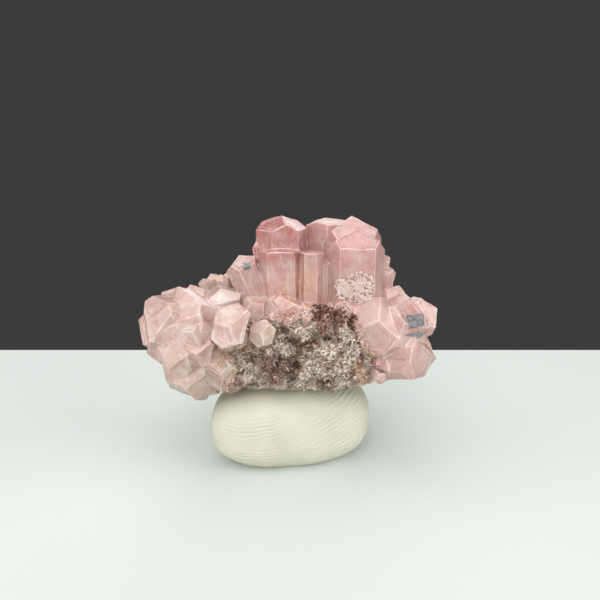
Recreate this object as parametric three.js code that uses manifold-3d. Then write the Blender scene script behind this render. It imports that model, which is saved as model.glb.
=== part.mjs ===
// A cobaltoan calcite cluster: intergrown pink hexagonal crystals on a druse-covered matrix,
// held upright on a pad of mineral tack. Millimetres, X to the right, Y to the back, Z up.
// The origin is on the surface that the pad rests on, under the middle of the whole.

import * as THREE from "three";
import { ConvexGeometry } from "three/addons/geometries/ConvexGeometry.js";
import { mergeVertices } from "three/addons/utils/BufferGeometryUtils.js";
import Module from "manifold-3d";

const wasm = await Module();
wasm.setup();

// Driving dimensions.
const GAP = 0.3; // clearance between separate pieces
const CAP_ANGLE = 42; // tilt of a crystal's three end faces from its basal plane, degrees
const MATRIX_CENTRE = new THREE.Vector3(1.1, 0.2, 12.4);
const MATRIX_HALF = new THREE.Vector3(9.7, 5.4, 3.9);
const MATRIX_ROUGHNESS = 0.07; // share of the radius by which the rock's surface waves
const MATRIX_DETAIL = 7; // subdivisions of the rock's icosahedron
const MATRIX_SQUARENESS = 3; // exponent of the rock's rounded outline: 2 is an ellipsoid
const MATRIX_SHOULDER_CENTRE = new THREE.Vector3(2.4, -2.1, 13.1); // its rise in front of the crown
const MATRIX_SHOULDER_HALF = new THREE.Vector3(6.2, 3.1, 4.1);
const MASS_UNEVENNESS = 0.11; // share of its reach by which a crystal mass's faces differ
const MASS_DISORDER = 0.4; // share of their spacing by which those faces turn from an even spread
const TACK_HALF = new THREE.Vector3(8.7, 5.4, 4.6);
const TACK_SKEW = 0.13; // how far back the pad drifts for each millimetre to the right
const TACK_CENTRE = new THREE.Vector3(0.4, 0, 3.9);
const TACK_SQUARENESS = 2.7; // exponent of the pad's rounded outline: 2 is an ellipse
const TACK_SECTORS = 36;
const TACK_RINGS = 18;

const GOLDEN_ANGLE = Math.PI * (3 - Math.sqrt(5));
// A prism's six side distances, as shares of an even prism's.
const WIDE_FRONT = [0.75, 1, 1, 1, 1, 1];
const FLATTENED = [0.72, 1, 1, 0.72, 1, 1];
const LOPSIDED = [1, 0.8, 1.1, 0.95, 0.72, 1.05];

// ---- Solids ----

function toSolid(geometry) {
  const bare = geometry.index ? geometry.clone() : geometry;
  bare.deleteAttribute("normal");
  bare.deleteAttribute("uv");
  const merged = mergeVertices(bare, 1e-4);
  const vertProperties = new Float32Array(merged.attributes.position.array);
  const triVerts = new Uint32Array(merged.index.array);
  return new wasm.Manifold(new wasm.Mesh({ numProp: 3, vertProperties, triVerts }));
}

function toGeometry(solid) {
  const { vertProperties, triVerts } = solid.getMesh();
  const geometry = new THREE.BufferGeometry();
  geometry.setAttribute("position", new THREE.BufferAttribute(vertProperties, 3));
  geometry.setIndex(new THREE.BufferAttribute(triVerts, 1));
  geometry.computeVertexNormals();
  return geometry;
}

const joined = (solids) => solids.reduce((whole, solid) => whole.add(solid));

// ---- Crystals ----

// A convex body from its bounding planes: every point where three of them meet inside the rest.
function bodyInside(planes) {
  const corners = [];
  const meeting = new THREE.Matrix3();
  for (let i = 0; i < planes.length; i++) {
    for (let j = i + 1; j < planes.length; j++) {
      for (let k = j + 1; k < planes.length; k++) {
        const [a, b, c] = [planes[i], planes[j], planes[k]];
        meeting.set(...a.normal, ...b.normal, ...c.normal);
        if (Math.abs(meeting.determinant()) < 1e-4) continue;
        const corner = new THREE.Vector3(-a.constant, -b.constant, -c.constant);
        corner.applyMatrix3(meeting.invert());
        const isInside = planes.every((plane) => plane.distanceToPoint(corner) < 1e-4);
        if (isInside) corners.push(corner);
      }
    }
  }
  return toSolid(new ConvexGeometry(corners));
}

// A hexagonal prism that ends in three faces at its tip and is cut square at its root.
// turn swings the prism round its axis: at 0 one side looks to the front, with an end face above it.
// widths scale the distances of its six sides from the axis.
function crystal(spec, growth = 0) {
  const { tip, root, radius, turn = 0, cap = CAP_ANGLE } = spec;
  const { widths = [1, 1, 1, 1, 1, 1] } = spec;
  const top = new THREE.Vector3(...tip);
  const bottom = new THREE.Vector3(...root);
  const axis = top.clone().sub(bottom).normalize();
  const reference = Math.abs(axis.y) > 0.8 ? new THREE.Vector3(0, 0, 1) : new THREE.Vector3(0, -1, 0);
  const front = reference.projectOnPlane(axis).normalize();
  const side = (degrees) => front.clone().applyAxisAngle(axis, THREE.MathUtils.degToRad(degrees));
  const bound = (normal, point, distance) => {
    const onFace = point.clone().addScaledVector(normal, distance + growth);
    return new THREE.Plane().setFromNormalAndCoplanarPoint(normal, onFace);
  };
  const tilt = THREE.MathUtils.degToRad(cap);
  const apothem = radius * Math.cos(Math.PI / 6);
  const planes = widths.map((width, i) => bound(side(turn + 60 * i), top, apothem * width));
  for (let i = 0; i < 3; i++) {
    const outward = side(turn + 120 * i).multiplyScalar(Math.sin(tilt));
    outward.addScaledVector(axis, Math.cos(tilt));
    planes.push(bound(outward, top, 0));
  }
  planes.push(bound(axis.clone().negate(), bottom, 0));
  return bodyInside(planes);
}

const cluster = (specs, growth = 0) => joined(specs.map((spec) => crystal(spec, growth)));

// A rounded mass of crystals grown so closely that only low faces show: flat faces spread
// loosely round an ellipsoid, each a little nearer to the middle or further out than the next.
function mass(spec, growth = 0) {
  const { centre, half, faces, turn } = spec;
  const middle = new THREE.Vector3(...centre);
  const stretch = new THREE.Vector3(...half);
  const planes = [];
  for (let i = 0; i < faces; i++) {
    const height = 1 - (2 * i + 1 + MASS_DISORDER * Math.sin(7 * i + turn)) / faces;
    const round = GOLDEN_ANGLE * i + turn + MASS_DISORDER * Math.sin(5 * i + 2 * turn);
    const across = Math.sqrt(1 - height * height);
    const normal = new THREE.Vector3(across * Math.cos(round), height, across * Math.sin(round));
    const uneven = 1 + MASS_UNEVENNESS * Math.sin(4 * i + turn);
    const reach = normal.clone().multiply(stretch).length() * uneven;
    const onFace = middle.clone().addScaledVector(normal, reach + growth);
    planes.push(new THREE.Plane().setFromNormalAndCoplanarPoint(normal, onFace));
  }
  return bodyInside(planes);
}

// The crown: tall pink prisms side by side on top of the matrix.
const crown = [
  // the broad right-hand prism and the parallel one grown on its front
  { tip: [6.6, 0.9, 25.9], root: [6.9, 0.9, 14.8], radius: 3.05, turn: 3, cap: 45 },
  { tip: [6.9, -1.0, 24.8], root: [6.8, -0.9, 15.3], radius: 2.85, widths: [0.8, 1, 1, 1, 1, 1] },
  // its rounded right shoulder
  { tip: [9.6, 1.4, 22.2], root: [8.5, 1.2, 14.8], radius: 1.5, turn: 20, cap: 34 },
  { tip: [10.3, 0.8, 20.9], root: [9.0, 0.9, 14.8], radius: 1.2, turn: -10, cap: 30 },
  // the prism behind, with a nearly level end
  { tip: [4.0, 3.0, 25.5], root: [4.4, 2.4, 14.8], radius: 2.4, turn: 30, cap: 18 },
  // the left-hand prism, a shorter one on its front and the square-ended one beside them
  { tip: [-0.6, 0.7, 25.9], root: [-0.6, 0.9, 14.8], radius: 2.65, turn: 72, cap: 30 },
  { tip: [-0.7, -1.2, 22.9], root: [-0.5, -1.0, 15.8], radius: 2.1, turn: 4, cap: 9, widths: WIDE_FRONT },
  { tip: [2.5, -1.8, 22.7], root: [2.4, -1.4, 15.8], radius: 1.25, turn: -6, cap: 6 },
  { tip: [2.7, -0.2, 21.9], root: [2.6, 0.0, 15.8], radius: 2.2, turn: 10, cap: 14 },
  // the leaning crystal on the left and the splinter above it
  { tip: [-4.8, -0.9, 22.2], root: [-2.4, -0.3, 15.3], radius: 1.75, turn: 24, cap: 36 },
  { tip: [-3.2, 0.1, 23.4], root: [-2.6, 0.2, 18.8], radius: 0.5, turn: 30, cap: 50 },
];

// Stout crystals at the crown's foot, standing out of the rock's top edge.
const crownFoot = [
  { tip: [-3.4, -4.3, 18.1], root: [-2.8, -0.8, 14.4], radius: 1.6, turn: 20, widths: LOPSIDED },
  { tip: [-0.6, -3.4, 18.5], root: [-0.6, -0.6, 14.6], radius: 0.9, turn: 5, cap: 34 },
  { tip: [2.0, -4.4, 17.5], root: [1.8, -0.6, 14.2], radius: 1.2, turn: 35, widths: LOPSIDED },
  { tip: [6.6, -4.0, 17.5], root: [6.6, -0.6, 14.2], radius: 1.5, turn: 50, widths: FLATTENED },
];

// The right-hand group, spreading out to the side and to the front.
const rightGroup = [
  { tip: [11.5, -0.6, 18.9], root: [8.6, 0.2, 13.3], radius: 1.8, turn: 10, widths: LOPSIDED },
  { tip: [15.1, -2.2, 16.9], root: [9.0, -0.6, 13.4], radius: 2.1, turn: -25, widths: FLATTENED },
  { tip: [15.3, -2.4, 11.7], root: [9.0, -0.6, 13.0], radius: 2.8, turn: 15, widths: LOPSIDED },
  { tip: [8.6, -5.8, 16.8], root: [8.6, -0.4, 13.6], radius: 2.9, turn: 50, cap: 34, widths: LOPSIDED },
  { tip: [12.0, -5.4, 11.8], root: [9.0, -0.8, 12.6], radius: 2.3, turn: 35, widths: FLATTENED },
];

// The left-hand group: a rounded mass of stout crystals, with the largest end facing the front.
const leftGroup = [
  { tip: [-15.2, -1.6, 15.6], root: [-8.0, -0.2, 13.4], radius: 2.7, turn: 10, widths: LOPSIDED },
  { tip: [-13.2, 0.4, 18.0], root: [-8.2, 0.2, 12.8], radius: 2.2, turn: 20, widths: FLATTENED },
  { tip: [-10.0, -0.4, 19.0], root: [-8.2, 0.2, 12.8], radius: 2.3, turn: 5, widths: LOPSIDED },
  { tip: [-6.6, -1.6, 18.9], root: [-6.4, 0.2, 12.8], radius: 2.2, turn: 20, cap: 30, widths: WIDE_FRONT },
  { tip: [-4.9, -7.2, 16.7], root: [-5.6, -0.4, 14.2], radius: 2.2, turn: 15, cap: 12, widths: LOPSIDED },
  { tip: [-14.4, -2.2, 12.2], root: [-8.0, -0.2, 13.2], radius: 2.1, turn: 40, widths: LOPSIDED },
  { tip: [-11.9, -5.0, 15.6], root: [-8.2, -0.4, 13.4], radius: 2.0, turn: 0, widths: FLATTENED },
  { tip: [-8.8, -6.2, 15.8], root: [-7.4, -0.4, 13.8], radius: 1.8, turn: 30, widths: LOPSIDED },
  { tip: [-8.4, -6.4, 13.6], root: [-7.4, -0.4, 13.2], radius: 1.8, turn: 10, widths: LOPSIDED },
];

// Tan crystals under the left-hand group, grown into it.
const lowerLeftGroup = [
  { tip: [-12.2, -2.6, 8.5], root: [-8.0, -0.4, 12.2], radius: 1.6, turn: 5, widths: FLATTENED },
  { tip: [-9.8, -5.0, 10.8], root: [-7.6, -0.4, 12.4], radius: 1.7, turn: 25, widths: LOPSIDED },
  { tip: [-6.4, -5.9, 11.4], root: [-6.0, -0.6, 12.4], radius: 1.6, turn: 10, cap: 20 },
  { tip: [-9.4, -3.6, 7.6], root: [-7.4, -0.4, 11.4], radius: 1.4, turn: 45, widths: LOPSIDED },
];

// The far side, which stands out less.
const backGroup = [
  { tip: [-0.8, 4.8, 22.8], root: [0.0, 2.0, 14.4], radius: 2.2, turn: 10 },
  { tip: [8.4, 5.0, 21.0], root: [7.0, 1.6, 14.4], radius: 2.2, turn: -10 },
  { tip: [-6.0, 5.4, 17.0], root: [-5.4, 1.2, 13.4], radius: 2.2, turn: 20 },
  { tip: [-11.4, 3.4, 15.2], root: [-7.6, 0.8, 13.2], radius: 2.3, turn: 0 },
  { tip: [12.2, 3.8, 15.2], root: [8.6, 1.0, 13.2], radius: 2.3, turn: 30 },
  { tip: [3.8, 6.8, 18.6], root: [3.4, 2.0, 14.4], radius: 2.1, turn: 0 },
];

// What the side groups' crystals and those at the crown's foot stand out of.
const masses = [
  { centre: [0.0, -1.3, 16.0], half: [4.4, 2.9, 1.7], faces: 26, turn: 1.7 },
  { centre: [4.8, -1.3, 15.7], half: [4.1, 2.9, 1.7], faces: 26, turn: 3.0 },
  { centre: [-11.4, -1.4, 14.8], half: [3.3, 3.6, 3.1], faces: 24, turn: 0.4 },
  { centre: [-9.2, -1.8, 15.7], half: [3.2, 3.9, 2.6], faces: 22, turn: 2.6 },
  { centre: [-9.6, -1.9, 12.8], half: [3.4, 3.7, 2.4], faces: 22, turn: 4.4 },
  { centre: [-9.2, -2.2, 10.6], half: [3.2, 3.1, 2.6], faces: 22, turn: 1.2 },
  { centre: [-6.9, -2.4, 11.6], half: [2.4, 3.2, 2.4], faces: 18, turn: 3.3 },
  { centre: [11.0, -2.2, 15.2], half: [3.1, 3.4, 2.9], faces: 24, turn: 2.0 },
  { centre: [11.4, -2.3, 12.9], half: [3.3, 3.6, 2.7], faces: 22, turn: 5.1 },
];

const grownTogether = [
  ...crown, ...crownFoot, ...rightGroup, ...leftGroup, ...lowerLeftGroup, ...backGroup,
];

// Small crystals that stand on the matrix by themselves.
const creamCrystal = [
  { tip: [-2.35, -6.1, 15.7], root: [-1.9, -2.6, 13.9], radius: 1.35, turn: 20, cap: 22 },
];
const nubCrystal = [
  { tip: [9.2, -6.0, 10.9], root: [8.4, -4.0, 11.4], radius: 0.65, turn: 0, cap: 30 },
];
const tanCrystals = [
  { tip: [-9.4, 3.2, 18.9], root: [-7.8, 2.4, 15.2], radius: 0.8, turn: 0 },
  { tip: [-8.5, 3.0, 19.5], root: [-7.4, 2.4, 15.2], radius: 0.9, turn: 40 },
  { tip: [-7.3, 2.9, 19.4], root: [-7.0, 2.4, 15.2], radius: 0.8, turn: 10 },
  { tip: [-6.4, 2.6, 19.8], root: [-6.6, 2.2, 15.2], radius: 0.75, turn: 25 },
];

// ---- Matrix ----

// A smooth wave over a direction, for a rock's lumps and hollows.
function lump({ x, y, z }) {
  const broad = Math.sin(3.1 * x + 1.3) * Math.cos(2.7 * y - 0.6) + Math.sin(3.7 * z + 2.1 * x);
  const fine = Math.sin(7.3 * x - 4.1 * y + 0.8) * Math.cos(6.1 * z + 1.9);
  return 0.7 * broad + 0.5 * fine;
}

function boulder(centre, half, growth) {
  const geometry = new THREE.IcosahedronGeometry(1, MATRIX_DETAIL);
  const position = geometry.attributes.position;
  const point = new THREE.Vector3();
  const power = (value) => Math.abs(value) ** MATRIX_SQUARENESS;
  for (let i = 0; i < position.count; i++) {
    point.fromBufferAttribute(position, i);
    const swell = 1 + MATRIX_ROUGHNESS * lump(point);
    const norm = power(point.x) + power(point.y) + power(point.z);
    point.multiplyScalar(swell / norm ** (1 / MATRIX_SQUARENESS)).multiply(half);
    point.setLength(point.length() + growth);
    point.add(centre);
    position.setXYZ(i, ...point);
  }
  return toSolid(geometry);
}

function rock(growth = 0) {
  const body = boulder(MATRIX_CENTRE, MATRIX_HALF, growth);
  return body.add(boulder(MATRIX_SHOULDER_CENTRE, MATRIX_SHOULDER_HALF, growth));
}

// ---- Mineral tack ----

// A pad pressed down to a flat base, rounded everywhere else.
function pad() {
  const corners = [];
  const power = (value) => Math.sign(value) * Math.abs(value) ** (2 / TACK_SQUARENESS);
  for (let ring = 0; ring <= TACK_RINGS; ring++) {
    const rise = -Math.PI / 2 + (Math.PI * ring) / TACK_RINGS;
    for (let sector = 0; sector < TACK_SECTORS; sector++) {
      const round = (2 * Math.PI * sector) / TACK_SECTORS;
      const across = power(Math.cos(rise));
      const height = TACK_CENTRE.z + TACK_HALF.z * power(Math.sin(rise));
      const x = TACK_HALF.x * across * power(Math.cos(round));
      const y = TACK_HALF.y * across * power(Math.sin(round)) + TACK_SKEW * x;
      corners.push(new THREE.Vector3(TACK_CENTRE.x + x, TACK_CENTRE.y + y, Math.max(height, 0)));
    }
  }
  return toSolid(new ConvexGeometry(corners));
}

// ---- Assembly ----

const intergrown = (growth) =>
  joined([cluster(grownTogether, growth), ...masses.map((spec) => mass(spec, growth))]);
const crystals = intergrown(0);
const crystalsAndGap = intergrown(GAP);
const small = { cream: cluster(creamCrystal), nub: cluster(nubCrystal), tan: cluster(tanCrystals) };
const smallAndGap = joined([creamCrystal, nubCrystal, tanCrystals].map((specs) => cluster(specs, GAP)));
const matrix = rock().subtract(crystalsAndGap).subtract(smallAndGap);
const tack = pad().subtract(rock(GAP)).subtract(crystalsAndGap).subtract(smallAndGap);

const looks = {
  calcite: { color: 0xd9a8a4, roughness: 0.2, metalness: 0 },
  cream: { color: 0xe2cdb8, roughness: 0.3, metalness: 0 },
  tan: { color: 0xb59a84, roughness: 0.4, metalness: 0 },
  stone: { color: 0x9c8d86, roughness: 0.8, metalness: 0 },
  tack: { color: 0xdfdfcc, roughness: 0.6, metalness: 0 },
};

const specimen = new THREE.Group();

function addPiece(name, solid, look) {
  const mesh = new THREE.Mesh(toGeometry(solid), new THREE.MeshStandardMaterial(look));
  mesh.name = name;
  specimen.add(mesh);
}

addPiece("calcite_crystals", crystals, looks.calcite);
addPiece("matrix", matrix, looks.stone);
addPiece("cream_crystal", small.cream.subtract(crystalsAndGap), looks.cream);
addPiece("nub_crystal", small.nub.subtract(crystalsAndGap), looks.calcite);
addPiece("tan_crystals", small.tan.subtract(crystalsAndGap), looks.tan);
addPiece("mineral_tack", tack, looks.tack);

const extent = new THREE.Box3().setFromObject(specimen);
const middle = extent.getCenter(new THREE.Vector3());
specimen.position.set(-middle.x, -middle.y, -extent.min.z);

export default specimen;
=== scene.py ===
"""A cobaltoan calcite cluster standing on a pad of mineral tack.

Lengths are in metres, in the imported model's frame: X to the right, Y to the back, Z up.
"""

import math

import bmesh
import bpy
import numpy as np
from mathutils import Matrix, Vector, noise
from mathutils.bvhtree import BVHTree
from mathutils.kdtree import KDTree


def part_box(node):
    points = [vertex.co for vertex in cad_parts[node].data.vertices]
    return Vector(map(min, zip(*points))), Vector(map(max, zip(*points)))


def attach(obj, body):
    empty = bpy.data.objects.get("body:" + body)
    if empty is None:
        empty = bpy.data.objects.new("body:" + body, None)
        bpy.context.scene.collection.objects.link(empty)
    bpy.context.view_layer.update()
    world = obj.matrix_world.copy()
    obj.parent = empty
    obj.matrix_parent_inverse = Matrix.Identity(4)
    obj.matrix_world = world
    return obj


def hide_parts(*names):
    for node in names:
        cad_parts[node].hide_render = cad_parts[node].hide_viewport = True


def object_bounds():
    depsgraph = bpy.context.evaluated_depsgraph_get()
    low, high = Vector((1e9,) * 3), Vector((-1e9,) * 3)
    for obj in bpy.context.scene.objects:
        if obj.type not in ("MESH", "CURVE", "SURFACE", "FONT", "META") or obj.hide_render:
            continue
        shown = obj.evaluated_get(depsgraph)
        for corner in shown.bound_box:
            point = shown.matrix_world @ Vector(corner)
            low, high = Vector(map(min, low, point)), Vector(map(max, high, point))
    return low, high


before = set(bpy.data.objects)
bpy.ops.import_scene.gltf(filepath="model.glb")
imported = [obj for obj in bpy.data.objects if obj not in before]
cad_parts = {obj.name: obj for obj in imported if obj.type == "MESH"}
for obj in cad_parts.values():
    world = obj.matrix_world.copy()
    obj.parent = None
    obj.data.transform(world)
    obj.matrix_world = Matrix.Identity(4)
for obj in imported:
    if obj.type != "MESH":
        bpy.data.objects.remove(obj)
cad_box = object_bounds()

MM = 0.001
LOW, HIGH = (Vector(corner) for corner in cad_box)
NOISE_SEED = 1
noise.seed_set(NOISE_SEED)  # without it, noise_vector() differs from run to run


def at(across, deep, up):
    """A place by its share of the object's width, depth and height, from the left, front and bottom."""
    return LOW + Vector((across, deep, up)) * (HIGH - LOW)


def clamp(value, low, high):
    return min(max(value, low), high)


def between(limits, share):
    return limits[0] + (limits[1] - limits[0]) * share


def add_object(name, data):
    made = bpy.data.objects.new(name, data)
    bpy.context.scene.collection.objects.link(made)
    return made


def new_mesh(name, points, faces):
    mesh = bpy.data.meshes.new(name)
    mesh.from_pydata(points, [], faces)
    return mesh


# ---- Camera ----

CAMERA_AT = Vector((1.25, -48.4, 29.8)) * MM
CAMERA_PITCH = 14.5  # degrees below level
CAMERA_LENS = 28.8  # millimetres, on a 36 mm sensor


def add_camera():
    data = bpy.data.cameras.new("camera")
    data.lens = CAMERA_LENS
    data.clip_start = 1 * MM
    camera = add_object("camera", data)
    camera.location = CAMERA_AT
    camera.rotation_euler = (math.radians(90 - CAMERA_PITCH), 0, 0)
    bpy.context.scene.camera = camera


# ---- Nodes for materials ----

# The edge of a tint is wavy.
TINT_WAVES = 1.5 * MM  # width of the waves
TINT_WANDER = 0.35  # their reach, as a share of the way from full tint to none
TINT_SHIFT = -0.17  # the noise is about a half everywhere, and this takes that off


class Shader:
    """A material under construction, with short calls for the nodes used here."""

    def __init__(self, name):
        self.material = bpy.data.materials.new(name)
        self.material.use_nodes = True
        self.tree = self.material.node_tree
        self.surface = self.tree.nodes["Principled BSDF"]
        self.output = self.tree.nodes["Material Output"]
        self.place = self.add("ShaderNodeTexCoord").outputs["Object"]

    def add(self, kind, **settings):
        node = self.tree.nodes.new(kind)
        for key, value in settings.items():
            setattr(node, key, value)
        return node

    def feed(self, value, socket):
        """Links a socket's output, or sets a plain value."""
        if isinstance(value, bpy.types.NodeSocket):
            self.tree.links.new(value, socket)
        elif socket.type == "RGBA":
            socket.default_value = (*value, 1)
        else:
            socket.default_value = value

    def wire(self, node, **values):
        """Sets or links a node's inputs, each by its name with underscores for spaces."""
        for key, value in values.items():
            self.feed(value, node.inputs[key.replace("_", " ")])

    def set(self, **values):
        """The same for the surface."""
        self.wire(self.surface, **values)

    def noise(self, size, detail=3.0, roughness=0.55, stretch=(1, 1, 1)):
        """Smooth noise with features about size metres across, longer along an axis with a small stretch."""
        mapping = self.add("ShaderNodeMapping")
        self.wire(mapping, Vector=self.place, Scale=stretch)
        node = self.add("ShaderNodeTexNoise")
        self.wire(node, Vector=mapping.outputs["Vector"], Scale=1 / size, Detail=detail, Roughness=roughness)
        return node.outputs["Fac"]

    def ramp(self, source, *stops):
        """Colours along source: each stop is (position, colour)."""
        node = self.add("ShaderNodeValToRGB")
        elements = node.color_ramp.elements
        while len(elements) < len(stops):
            elements.new(0.5)
        for element, (position, colour) in zip(elements, stops):
            element.position = position
            element.color = (*colour, 1)
        self.feed(source, node.inputs["Fac"])
        return node.outputs["Color"]

    def remap(self, source, low, high, to_low=0.0, to_high=1.0):
        """Turns low to high into to_low to to_high, easing in and out."""
        node = self.add("ShaderNodeMapRange", interpolation_type="SMOOTHSTEP")
        self.wire(node, Value=source, From_Min=low, From_Max=high, To_Min=to_low, To_Max=to_high)
        return node.outputs["Result"]

    def mix(self, factor, first, second):
        """The first colour where factor is 0, the second where it is 1."""
        node = self.add("ShaderNodeMix", data_type="RGBA")
        for value, number in ((factor, 0), (first, 6), (second, 7)):
            self.feed(value, node.inputs[number])
        return node.outputs[2]

    def math(self, operation, *values):
        node = self.add("ShaderNodeMath", operation=operation)
        for value, socket in zip(values, node.inputs):
            self.feed(value, socket)
        return node.outputs[0]

    def near(self, centre, full, end):
        """1 within full metres of centre, falling to 0 at end, with a wavy edge."""
        node = self.add("ShaderNodeVectorMath", operation="DISTANCE")
        self.feed(self.place, node.inputs[0])
        node.inputs[1].default_value = centre
        fade = end - full
        waves = self.math("MULTIPLY_ADD", self.noise(TINT_WAVES, 3), TINT_WANDER * fade, TINT_SHIFT * fade)
        return self.remap(self.math("ADD", node.outputs["Value"], waves), full, end, 1.0, 0.0)

    def tinted(self, colour, tints):
        """The colour with each tint round its own centre."""
        for centre, full, end, tint in tints:
            colour = self.mix(self.near(centre, full * MM, end * MM), colour, tint)
        return colour

    def veil(self, colour, tint, clouds, low, high, strength, where=None):
        """The colour under clouds of a tint: none below low on the noise, at strength above high."""
        cover = self.remap(self.noise(*clouds), low, high, 0.0, strength)
        if where is not None:
            cover = self.math("MULTIPLY", where, cover)
        return self.mix(cover, colour, tint)

    def veins(self, size, width, strength):
        """Thin winding lines where a noise is near a half, strength at their middle."""
        away = self.math("ABSOLUTE", self.math("SUBTRACT", self.noise(size, 1, 0.4), 0.5))
        return self.remap(away, 0.0, width, strength, 0.0)

    def bump(self, height, distance, strength=1.0, under=None):
        """Relief on the surface, over the relief that another call gave."""
        node = self.add("ShaderNodeBump")
        self.wire(node, Distance=distance, Strength=strength, Height=height)
        if under:
            self.wire(node, Normal=under)
        self.set(Normal=node.outputs["Normal"])
        return node.outputs["Normal"]

    def absorb(self, colour, density):
        """What the inside takes from the light."""
        node = self.add("ShaderNodeVolumeAbsorption")
        self.wire(node, Color=colour, Density=density)
        self.wire(self.output, Volume=node.outputs["Volume"])


# ---- Calcite ----

# Colours are linear red, green and blue.
PALE_PINK = (0.74, 0.49, 0.43)
DEEP_PINK = (0.64, 0.26, 0.23)
ROSE = (0.78, 0.44, 0.42)
PEACH = (0.80, 0.49, 0.38)
TAN = (0.60, 0.43, 0.31)
SHADE = (0.66, 0.33, 0.29)
CREAM = (0.80, 0.62, 0.47)
SAND = (0.72, 0.55, 0.36)
MILK = (0.88, 0.78, 0.73)
HAZE = (0.82, 0.65, 0.60)
SNOW = (0.97, 0.95, 0.92)
CLEAR = (0.96, 0.92, 0.90)

CALCITE_IOR = 1.57
ABSORPTION = (0.97, 0.72, 0.70), 90  # colour, and density per metre
GLOW_DEPTH = 0.4 * MM  # how far light wanders under the faces
FACE_CLEARNESS = 0.5  # share of the light that passes into the crystals
RIM_CLEARNESS = 0.37  # the same at their worn edges
FACE_ROUGHNESS = (0.05, 0.22)  # least and most
RIM_ROUGHNESS = 0.25
RIM_PAINTED_HIGHLIGHT = 0.5  # painted highlight: how pale the rims become where they are palest
MILKY_RIM_HIGHLIGHT = 0.4  # painted highlight on the milky group's rims, as a share of the others'
LINE_DEPTH = 0.03 * MM  # of the growth lines across the faces
HILLOCK_HEIGHT = 0.6 * MM  # of the growth hillocks, if they went from black to white on their noise
GROWTH_STEP = 0.06  # of that height
FACE_TONES = 0.2  # how far the faces differ in tone
VEIN_SPACING = 2.2 * MM
VEIN_WIDTH = 0.02  # on the veins' noise
VEIN_STRENGTH = 0.22

# Where the pink changes: centre, radius of full tint and radius of its end in millimetres, tint.
CALCITE_TINTS = (
    (at(0.47, 0.5, 0.93), 2.6, 5.0, DEEP_PINK),
    (at(0.72, 0.45, 0.92), 2.0, 5.0, ROSE),
    (at(0.55, 0.3, 0.70), 2.0, 5.0, PEACH),
    (at(0.22, 0.3, 0.38), 3.0, 5.5, TAN),
    (at(0.36, 0.1, 0.48), 0.8, 2.6, CREAM),
    (at(0.285, 0.28, 0.715), 1.0, 2.4, SNOW),
)

# The left-hand group: centre, and radii of full milkiness and of its end. Its edges show less painted
# highlight.
MILKY_GROUP = at(0.22, 0.3, 0.58), 4.5 * MM, 9.0 * MM

# Clouds in the calcite: tint, noise (size, detail, roughness and stretch), where on the noise they begin
# and where they are full, strength.
CALCITE_VEILS = (
    (SHADE, (1.2 * MM, 5, 0.65), 0.46, 0.64, 0.7),
    (PEACH, (2.1 * MM, 4, 0.6, (1, 1, 0.7)), 0.52, 0.70, 0.5),
    (HAZE, (1.5 * MM, 6, 0.65), 0.46, 0.64, 0.55),
    (MILK, (0.28 * MM, 4, 0.6, (1, 1, 0.16)), 0.54, 0.68, 0.4),
)
# Those of the milky group.
MILKY_VEILS = (
    (CREAM, (1.9 * MM, 4, 0.6), 0.47, 0.60, 0.6),
    (MILK, (1.3 * MM, 5, 0.65), 0.48, 0.60, 0.6),
)


def calcite_shader(name, base, tints):
    """Cloudy translucent calcite that glows, and the colour that its surface is to have."""
    shader = Shader(name)
    shader.surface.subsurface_method = "BURLEY"
    tone = shader.add("ShaderNodeAttribute", attribute_name="tone").outputs["Fac"]
    paler = shader.remap(tone, 0.0, 1.0, 0.0, FACE_TONES)
    colour = shader.mix(paler, shader.tinted(base, tints), HAZE)
    for tint, *cover in CALCITE_VEILS:
        colour = shader.veil(colour, tint, *cover)
    colour = shader.mix(shader.veins(VEIN_SPACING, VEIN_WIDTH, VEIN_STRENGTH), colour, MILK)
    group = shader.near(*MILKY_GROUP)
    for tint, *cover in MILKY_VEILS:
        colour = shader.veil(colour, tint, *cover, where=group)
    shader.set(IOR=CALCITE_IOR, Subsurface_Weight=1.0)
    shader.set(Subsurface_Scale=GLOW_DEPTH, Subsurface_Radius=(1, 1, 1))
    shader.absorb(*ABSORPTION)
    return shader, colour


def calcite_material(name, base=PALE_PINK, tints=CALCITE_TINTS):
    """The faces of the crystals, with growth lines and hillocks."""
    shader, colour = calcite_shader(name, base, tints)
    roughness = shader.remap(shader.noise(0.7 * MM, 4), 0.3, 0.7, *FACE_ROUGHNESS)
    shader.set(Base_Color=colour, Transmission_Weight=FACE_CLEARNESS, Roughness=roughness)
    lines = shader.bump(shader.noise(0.5 * MM, 4, 0.6, (0.4, 0.4, 2.2)), LINE_DEPTH, 0.7)
    hillocks = shader.math("SNAP", shader.noise(1.6 * MM, 3, 0.5), GROWTH_STEP)
    shader.bump(hillocks, HILLOCK_HEIGHT, 0.9, lines)
    return shader.material


def edge_material(name, base=PALE_PINK, tints=CALCITE_TINTS):
    """The rims of the crystals, with a painted highlight that makes them paler in places."""
    shader, colour = calcite_shader(name, base, tints)
    # Painted highlight: noise turns parts of the rims towards CLEAR, as if they caught the light.
    painted_highlight = shader.remap(shader.noise(1.3 * MM, 3), 0.44, 0.66, 0.0, RIM_PAINTED_HIGHLIGHT)
    milder = shader.remap(shader.near(*MILKY_GROUP), 0.0, 1.0, 1.0, MILKY_RIM_HIGHLIGHT)
    at_rims = shader.mix(shader.math("MULTIPLY", painted_highlight, milder), colour, CLEAR)
    shader.set(Base_Color=at_rims, Transmission_Weight=RIM_CLEARNESS, Roughness=RIM_ROUGHNESS)
    return shader.material


# ---- Pieces ----


def link_piece(name, mesh, *materials):
    """A new object of a mesh, with its materials in slots 0 and up."""
    piece = add_object(name, mesh)
    if mesh.materials:
        mesh.materials.clear()
    for material in materials:
        mesh.materials.append(material)
    return piece


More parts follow.
